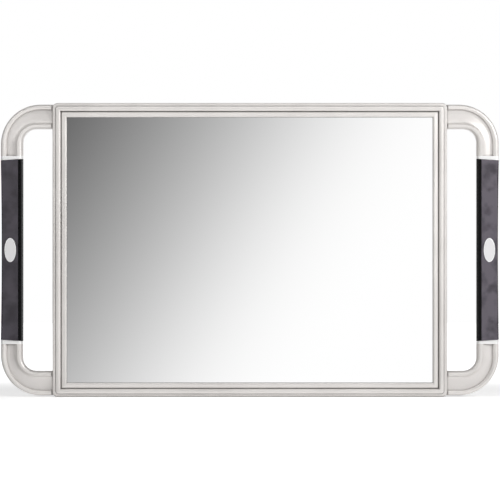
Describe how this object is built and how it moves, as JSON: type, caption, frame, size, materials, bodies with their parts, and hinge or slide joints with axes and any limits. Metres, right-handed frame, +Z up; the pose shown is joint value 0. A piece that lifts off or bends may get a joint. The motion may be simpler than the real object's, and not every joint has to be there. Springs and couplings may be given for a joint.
{
  "type": "salon mirror",
  "caption": "Rectangular salon back mirror in a moulded silver frame, with a fixed C-shaped handle at each side and a black rubber grip on each handle.",
  "frame": {"origin": "middle of the flat lower edge, halfway through the depth", "axes": "+X to the right seen from the front, +Y out of the back, +Z up; the glass faces -Y"},
  "size_m": [0.5, 0.024, 0.295],
  "materials": {
    "silver_paint": "warm silver-grey satin paint with fine flake on moulded ABS",
    "mirror_glass": "silvered float glass with bevelled edge",
    "seal_felt": "black self-adhesive felt strip",
    "grey_card": "grey pressed board",
    "black_foam": "black closed-cell foam",
    "grip_rubber": "soft black rubber, matt face with fine scuffs and smooth sides",
    "badge_metal": "satin stamped aluminium with a bright raised rim",
    "adhesive_tape": "thin black foam tape",
    "screw_steel": "zinc-plated steel"
  },
  "bodies": {
    "root": {"rear_tray": "silver_paint", "front_bezel": "silver_paint", "left_handle_front": "silver_paint", "right_handle_front": "silver_paint", "left_handle_rear": "silver_paint", "right_handle_rear": "silver_paint", "mirror_glass": "mirror_glass", "glass_seal_strips": "seal_felt", "backing_card": "grey_card", "foam_pads": "black_foam", "left_grip": "grip_rubber", "right_grip": "grip_rubber", "left_badge": "badge_metal", "right_badge": "badge_metal", "left_badge_tape": "adhesive_tape", "right_badge_tape": "adhesive_tape", "bezel_screws": "screw_steel", "handle_lug_screws": "screw_steel", "handle_half_screws": "screw_steel"}
  },
  "joints": []
}
